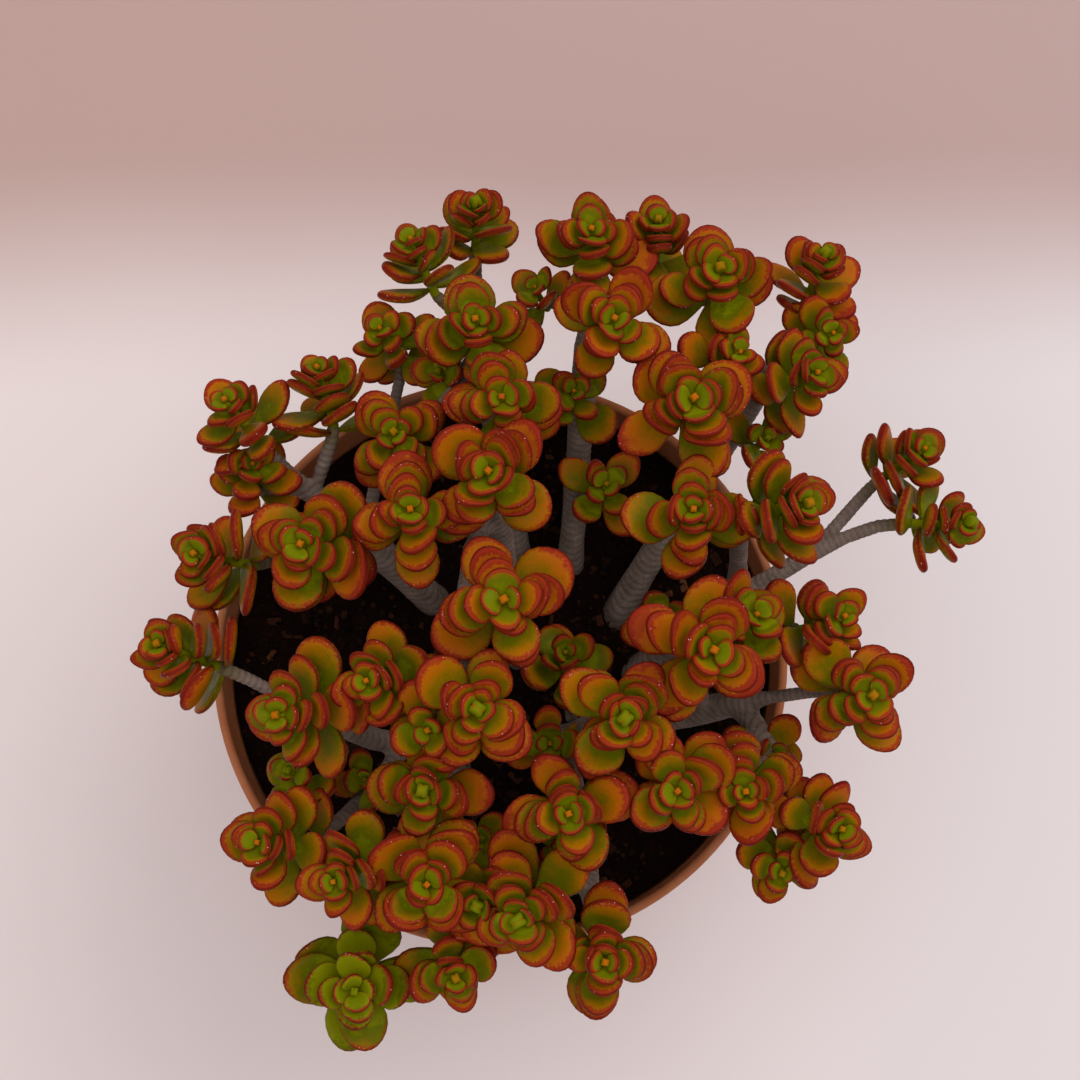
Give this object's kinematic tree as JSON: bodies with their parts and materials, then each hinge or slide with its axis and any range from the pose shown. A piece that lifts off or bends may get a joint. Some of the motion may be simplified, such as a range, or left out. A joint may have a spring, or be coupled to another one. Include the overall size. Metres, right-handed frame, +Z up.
{
  "type": "potted jade plant",
  "caption": "Potted jade plant: thick red-edged leaf rosettes on short branching stems, in a round tapered terracotta-coloured pot filled with dark soil.",
  "frame": {"origin": "middle of the flat underside of the pot, on the surface it stands on", "axes": "+Z up along the pot's axis; +Y towards the back of the plant, +X to its right"},
  "size_m": [0.3892, 0.4128, 0.3619],
  "materials": {
    "pot_plastic": "matt moulded terracotta colour",
    "potting_soil": "dark moist potting mix with bark chips",
    "bark": "grey-brown stem bark ringed with leaf scars",
    "jade_leaf": "smooth waxy leaf, green at the base and orange to dark red at the rim"
  },
  "bodies": {
    "root": {"pot": "pot_plastic", "soil": "potting_soil", "centre_stem": "bark", "centre_leaves_1": "jade_leaf", "centre_leaves_2": "jade_leaf", "centre_leaves_3": "jade_leaf", "centre_leaves_4": "jade_leaf", "back_stem": "bark", "back_leaves_1": "jade_leaf", "back_leaves_2": "jade_leaf", "back_leaves_3": "jade_leaf", "back_leaves_4": "jade_leaf", "back_leaves_5": "jade_leaf", "back_right_stem": "bark", "back_right_leaves_1": "jade_leaf", "back_right_leaves_2": "jade_leaf", "back_right_leaves_3": "jade_leaf", "back_right_leaves_4": "jade_leaf", "right_back_stem": "bark", "right_back_leaves_1": "jade_leaf", "right_back_leaves_2": "jade_leaf", "right_back_leaves_3": "jade_leaf", "right_back_leaves_4": "jade_leaf", "right_back_leaves_5": "jade_leaf", "right_stem": "bark", "right_leaves_1": "jade_leaf", "right_leaves_2": "jade_leaf", "right_leaves_3": "jade_leaf", "right_leaves_4": "jade_leaf", "right_leaves_5": "jade_leaf", "front_right_stem": "bark", "front_right_leaves_1": "jade_leaf", "front_right_leaves_2": "jade_leaf", "front_right_leaves_3": "jade_leaf", "front_right_leaves_4": "jade_leaf", "front_right_leaves_5": "jade_leaf", "front_stem": "bark", "front_leaves_1": "jade_leaf", "front_leaves_2": "jade_leaf", "front_leaves_3": "jade_leaf", "front_leaves_4": "jade_leaf", "front_leaves_5": "jade_leaf", "front_left_stem": "bark", "front_left_leaves_1": "jade_leaf", "front_left_leaves_2": "jade_leaf", "front_left_leaves_3": "jade_leaf", "front_left_leaves_4": "jade_leaf", "front_left_leaves_5": "jade_leaf", "left_stem": "bark", "left_leaves_1": "jade_leaf", "left_leaves_2": "jade_leaf", "left_leaves_3": "jade_leaf", "left_leaves_4": "jade_leaf", "left_back_stem": "bark", "left_back_leaves_1": "jade_leaf", "left_back_leaves_2": "jade_leaf", "left_back_leaves_3": "jade_leaf", "left_back_leaves_4": "jade_leaf", "left_back_leaves_5": "jade_leaf", "left_back_leaves_6": "jade_leaf"}
  },
  "joints": []
}
